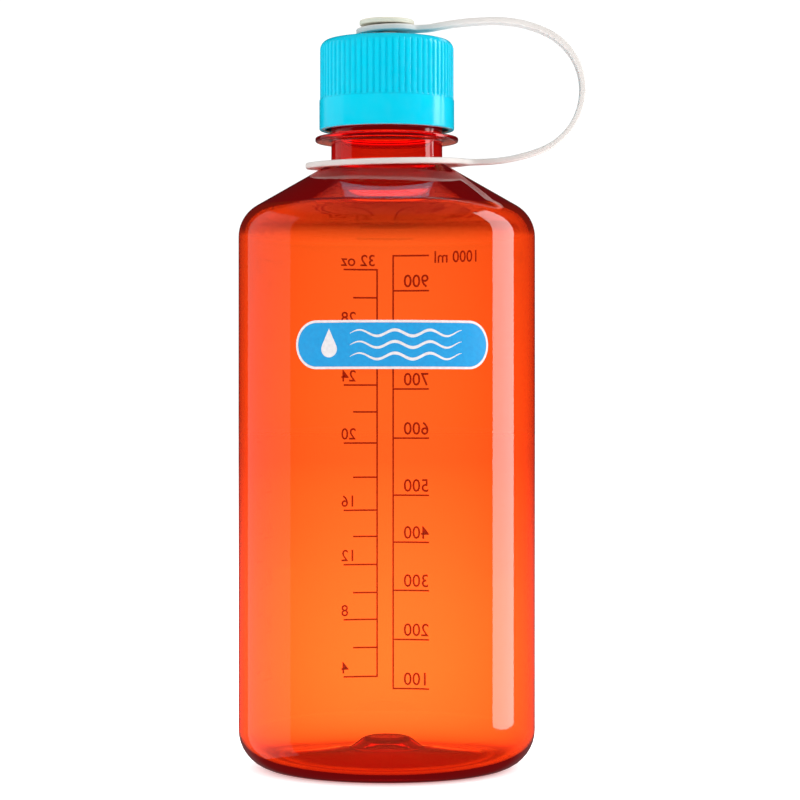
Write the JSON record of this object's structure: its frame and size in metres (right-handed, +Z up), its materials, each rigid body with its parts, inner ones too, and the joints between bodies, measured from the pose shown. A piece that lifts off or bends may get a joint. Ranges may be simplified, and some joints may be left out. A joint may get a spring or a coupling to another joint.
{
  "type": "narrow-mouth water bottle with tethered screw cap",
  "caption": "Clear tinted rigid bottle with a ribbed screw cap, a moulded strap that tethers the cap and forms a carrying loop, and a snap button on the cap.",
  "frame": {"origin": "centre of the ring that the bottle stands on, on the bottle's axis", "axes": "+Z up along the bottle's axis, +X towards the strap's carrying loop"},
  "size_m": [0.1077, 0.092, 0.2326],
  "materials": {
    "clear_body": "clear gloss",
    "cap_plastic": "satin",
    "strap_plastic": "satin",
    "button_plastic": "satin"
  },
  "bodies": {
    "bottle": {"bottle_body": "clear_body"},
    "tether_ring": {"strap_neck_ring": "strap_plastic"},
    "tether_loop": {"strap_cap_loop": "strap_plastic"},
    "button": {"swivel_button": "button_plastic"},
    "cap": {"screw_cap": "cap_plastic"}
  },
  "joints": [
    {"name": "tether_swivel", "type": "hinge", "parent": "bottle", "child": "tether_ring", "pos_m": [0, 0, 0.18725], "axis": [0, 0, 1], "continuous": true},
    {"name": "tether_lift", "type": "slide", "parent": "tether_ring", "child": "tether_loop", "axis": [0, 0, 1], "range_m": [0, 0.02656]},
    {"name": "button_lift", "type": "slide", "parent": "bottle", "child": "button", "axis": [0, 0, 1], "range_m": [0, 0.02656]},
    {"name": "cap_turn", "type": "hinge", "parent": "button", "child": "cap", "pos_m": [0, 0, 0.2], "axis": [0, 0, 1], "range_deg": [0, 2250]}
  ],
  "couplings": [
    {"joint": "tether_lift", "follows": "cap_turn", "m_per_rad": 0.00067376},
    {"joint": "button_lift", "follows": "cap_turn", "m_per_rad": 0.00067376}
  ]
}
